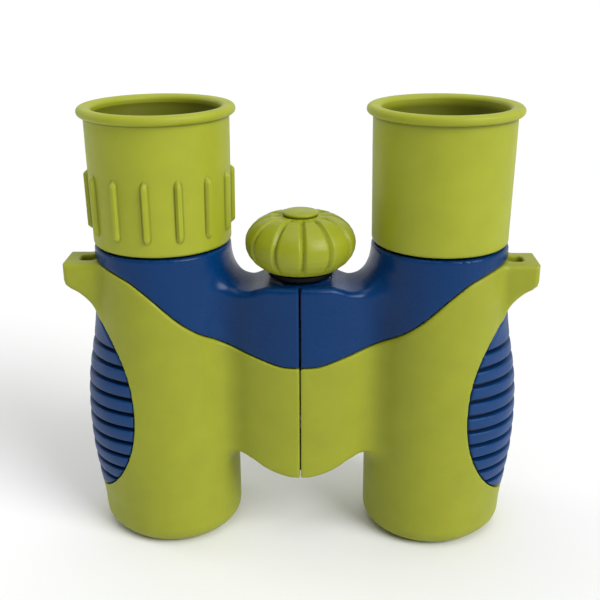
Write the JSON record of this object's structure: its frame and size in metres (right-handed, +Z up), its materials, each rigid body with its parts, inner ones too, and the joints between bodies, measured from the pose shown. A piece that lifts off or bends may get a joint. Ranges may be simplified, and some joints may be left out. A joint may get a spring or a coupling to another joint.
{
  "type": "folding compact binoculars",
  "caption": "Compact folding roof-prism binoculars for a child, with rubber armour, ribbed side grips, a lobed focus wheel and turned-up eyecups.",
  "frame": {"origin": "on the ground under the middle of the object, which stands on the ends of its two objective barrels", "axes": "+Z up towards the eyepieces; the focus wheel side faces -Y; the user's right barrel is at -X"},
  "size_m": [0.1184, 0.0384, 0.1142],
  "materials": {
    "armour": "satin matte, moulded",
    "eyecup": "satin, soft",
    "housing": "semi-gloss, moulded",
    "grip": "satin, ribbed",
    "wheel": "satin",
    "black": "matte black",
    "glass": "polished, coated",
    "steel": "bright",
    "brass": "turned"
  },
  "bodies": {
    "right_half": {"right_housing": "housing", "right_armour": "armour", "right_grip": "grip", "right_eyepiece_key": "steel", "right_prism_cage": "black", "right_half_penta_prism": "glass", "right_roof_prism": "glass", "right_prism_retainer": "steel", "hinge_axle": "steel", "axle_screw": "steel", "hinge_cap": "black", "upper_hinge_washer": "black", "lower_hinge_washer": "black", "focus_collar": "black"},
    "left_half": {"left_housing": "housing", "left_armour": "armour", "left_grip": "grip", "left_eyecup": "eyecup", "left_eyepiece_sleeve": "black", "left_eyepiece_cell": "black", "left_eye_lens_crown": "glass", "left_eye_lens_flint": "glass", "left_eyepiece_spacer": "black", "left_field_lens": "glass", "left_field_stop": "black", "left_eyepiece_lock_ring": "black", "left_prism_cage": "black", "left_half_penta_prism": "glass", "left_roof_prism": "glass", "left_prism_retainer": "steel"},
    "dioptre_ring": {"right_eyecup": "eyecup", "right_eyepiece_sleeve": "black"},
    "right_eyepiece": {"right_eyepiece_cell": "black", "right_eye_lens_crown": "glass", "right_eye_lens_flint": "glass", "right_eyepiece_spacer": "black", "right_field_lens": "glass", "right_field_stop": "black", "right_eyepiece_lock_ring": "black"},
    "focus_wheel": {"focus_wheel": "wheel", "focus_wheel_cap": "wheel", "wheel_screw": "steel", "focus_spindle": "brass"},
    "focus_carriage": {"focus_nut": "brass", "focus_yoke": "black", "yoke_clip": "steel", "left_yoke_pin": "steel", "right_yoke_pin": "steel", "right_objective_cell": "black", "right_objective_ring": "black", "right_objective_crown": "glass", "right_objective_flint": "glass", "right_focus_arm": "steel", "right_arm_screw": "steel"},
    "left_objective": {"left_objective_cell": "black", "left_objective_ring": "black", "left_objective_crown": "glass", "left_objective_flint": "glass", "left_focus_arm": "steel", "left_arm_screw": "steel"}
  },
  "joints": [
    {"name": "fold", "type": "hinge", "parent": "right_half", "child": "left_half", "pos_m": [0, -0.005, 0], "axis": [0, 0, 1], "range_deg": [0, 58]},
    {"name": "focus_slide", "type": "slide", "parent": "right_half", "child": "focus_carriage", "axis": [0, 0, 1], "range_m": [-0.002, 0.00075]},
    {"name": "focus_turn", "type": "hinge", "parent": "right_half", "child": "focus_wheel", "pos_m": [0, -0.005, 0], "axis": [0, 0, 1], "range_deg": [-242, 92]},
    {"name": "left_objective_slide", "type": "slide", "parent": "left_half", "child": "left_objective", "axis": [0, 0, 1], "range_m": [-0.0021, 0.0009]},
    {"name": "dioptre_slide", "type": "slide", "parent": "right_half", "child": "right_eyepiece", "axis": [0, 0, 1], "range_m": [-0.0012, 0.0012]},
    {"name": "dioptre_turn", "type": "hinge", "parent": "right_half", "child": "dioptre_ring", "pos_m": [-0.035, 0, 0], "axis": [0, 0, 1], "range_deg": [-61, 61]}
  ],
  "couplings": [
    {"joint": "focus_turn", "follows": "focus_slide", "rad_per_m": 2094.4},
    {"joint": "left_objective_slide", "follows": "focus_slide", "ratio": 1},
    {"joint": "dioptre_turn", "follows": "dioptre_slide", "rad_per_m": 872.66}
  ]
}
